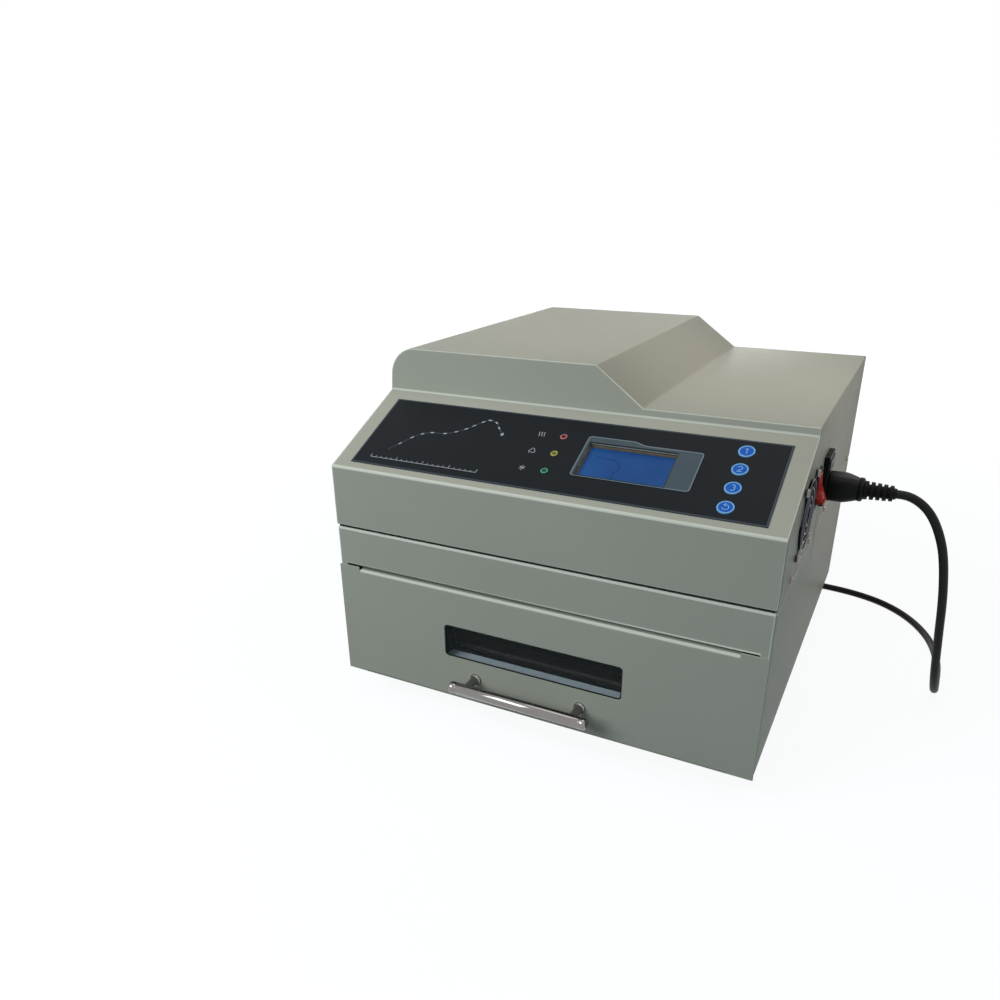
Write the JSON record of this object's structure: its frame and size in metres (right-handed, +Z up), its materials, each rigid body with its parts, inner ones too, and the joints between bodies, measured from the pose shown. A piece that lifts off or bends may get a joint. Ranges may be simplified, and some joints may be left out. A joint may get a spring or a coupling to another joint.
{
  "type": "bench reflow oven",
  "caption": "Bench reflow oven with a front drawer and window, slanted control panel with display and keys, side fan, switch and mains lead.",
  "frame": {"origin": "on the bench surface under the middle of the oven, its lead left out", "axes": "+X towards the side with the switch and the mains inlet, -Y towards the drawer, +Z up"},
  "size_m": [0.4986, 0.5465, 0.305],
  "materials": {
    "painted_sheet": "fine-textured warm light grey powder coat on folded steel sheet",
    "plain_steel": "zinc plated or plain steel sheet, dull",
    "fasteners": "bright plated screws",
    "foot_rubber": "matt black moulded rubber",
    "mineral_board": "off-white ceramic fibre board",
    "quartz": "satin quartz tube",
    "ceramic": "glazed steatite",
    "motor_iron": "dark painted motor body",
    "aluminium": "bare aluminium",
    "window_glass": "clear heat-proof glass",
    "stainless": "brushed stainless sheet",
    "handle_chrome": "polished chrome plate",
    "overlay_black": "black printed polyester overlay with a satin face and a blue-grey border",
    "display_grey": "grey printed surround",
    "clear_film": "clear window film",
    "display_blue": "blue backlit display behind glass",
    "lamp_red": "red lamp",
    "lamp_yellow": "yellow lamp",
    "lamp_green": "green lamp",
    "key_blue": "blue domed key with a pale ring",
    "board_green": "green circuit board with its parts",
    "fan_black": "black moulded plastic",
    "switch_red": "clear red moulded rocker",
    "moulded_black": "black moulded plastic",
    "cord_black": "black vinyl cord sheath"
  },
  "bodies": {
    "root": {"base_pan": "painted_sheet", "lower_chassis": "painted_sheet", "top_cover": "painted_sheet", "front_hood": "painted_sheet", "rear_panel": "painted_sheet", "case_screws": "fasteners", "feet": "foot_rubber", "chamber_liner": "stainless", "insulation": "mineral_board", "heat_shield": "plain_steel", "quartz_heaters": "quartz", "heater_holders": "ceramic", "thermocouple": "plain_steel", "motor_bracket": "plain_steel", "circulation_motor": "motor_iron", "runner_outer": "plain_steel", "runner_brackets": "plain_steel", "panel_overlay": "overlay_black", "display_surround": "display_grey", "display_window": "clear_film", "display_module": "display_blue", "lamp_red": "lamp_red", "lamp_yellow": "lamp_yellow", "lamp_green": "lamp_green", "lamp_collars": "fasteners", "control_board": "board_green", "power_board": "board_green", "heat_sink": "aluminium", "data_socket": "plain_steel", "side_fan_frame": "fan_black", "side_fan_guard": "handle_chrome", "exhaust_fan_frame": "fan_black", "switch_housing": "moulded_black", "mains_inlet": "moulded_black", "mains_connector": "moulded_black", "mains_cord": "cord_black", "cord_coil": "cord_black", "mains_plug": "moulded_black"},
    "drawer": {"drawer_front": "painted_sheet", "window_glass": "window_glass", "door_insulation": "mineral_board", "drawer_inner_panel": "stainless", "drawer_body": "stainless", "drawer_tray": "stainless", "handle_bar": "handle_chrome", "handle_screws": "fasteners", "runner_inner": "plain_steel"},
    "left_runner_member": {"runner_middle_left": "plain_steel"},
    "right_runner_member": {"runner_middle_right": "plain_steel"},
    "first_key": {"key_1": "key_blue"},
    "second_key": {"key_2": "key_blue"},
    "third_key": {"key_3": "key_blue"},
    "back_key": {"key_return": "key_blue"},
    "rocker": {"switch_rocker": "switch_red"},
    "fuse_carrier": {"fuse_drawer": "moulded_black"},
    "side_fan_wheel": {"side_fan_rotor": "fan_black"},
    "exhaust_fan_wheel": {"exhaust_fan_rotor": "fan_black"},
    "circulation_wheel": {"circulation_shaft": "plain_steel", "circulation_impeller": "stainless", "motor_cooling_fan": "aluminium"}
  },
  "joints": [
    {"name": "drawer_slide", "type": "slide", "parent": "root", "child": "drawer", "axis": [0, -1, 0], "range_m": [0, 0.32]},
    {"name": "left_runner_slide", "type": "slide", "parent": "root", "child": "left_runner_member", "axis": [0, -1, 0], "range_m": [0, 0.16]},
    {"name": "right_runner_slide", "type": "slide", "parent": "root", "child": "right_runner_member", "axis": [0, -1, 0], "range_m": [0, 0.16]},
    {"name": "key_1_press", "type": "slide", "parent": "root", "child": "first_key", "axis": [0, 0.4281, -0.9037], "range_m": [0, 0.0004], "stiffness_N_per_m": 500, "springref_m": -0.001},
    {"name": "key_2_press", "type": "slide", "parent": "root", "child": "second_key", "axis": [0, 0.4281, -0.9037], "range_m": [0, 0.0004], "stiffness_N_per_m": 500, "springref_m": -0.001},
    {"name": "key_3_press", "type": "slide", "parent": "root", "child": "third_key", "axis": [0, 0.4281, -0.9037], "range_m": [0, 0.0004], "stiffness_N_per_m": 500, "springref_m": -0.001},
    {"name": "key_return_press", "type": "slide", "parent": "root", "child": "back_key", "axis": [0, 0.4281, -0.9037], "range_m": [0, 0.0004], "stiffness_N_per_m": 500, "springref_m": -0.001},
    {"name": "rocker_pivot", "type": "hinge", "parent": "root", "child": "rocker", "pos_m": [0.18083, -0.0719, 0.221], "axis": [0, 1, 0], "range_deg": [0, 30]},
    {"name": "fuse_drawer_slide", "type": "slide", "parent": "root", "child": "fuse_carrier", "axis": [1, 0, 0], "range_m": [0, 0.012]},
    {"name": "side_fan_spin", "type": "hinge", "parent": "root", "child": "side_fan_wheel", "pos_m": [0.16963, -0.1134, 0.2145], "axis": [1, 0, 0], "continuous": true},
    {"name": "exhaust_fan_spin", "type": "hinge", "parent": "root", "child": "exhaust_fan_wheel", "pos_m": [0.06683, 0.2014, 0.2267], "axis": [0, 1, 0], "continuous": true},
    {"name": "circulation_fan_spin", "type": "hinge", "parent": "root", "child": "circulation_wheel", "pos_m": [-0.07367, 0.0066, 0.2], "axis": [0, 0, 1], "continuous": true}
  ],
  "couplings": [
    {"joint": "left_runner_slide", "follows": "drawer_slide", "ratio": 0.5},
    {"joint": "right_runner_slide", "follows": "drawer_slide", "ratio": 0.5}
  ]
}
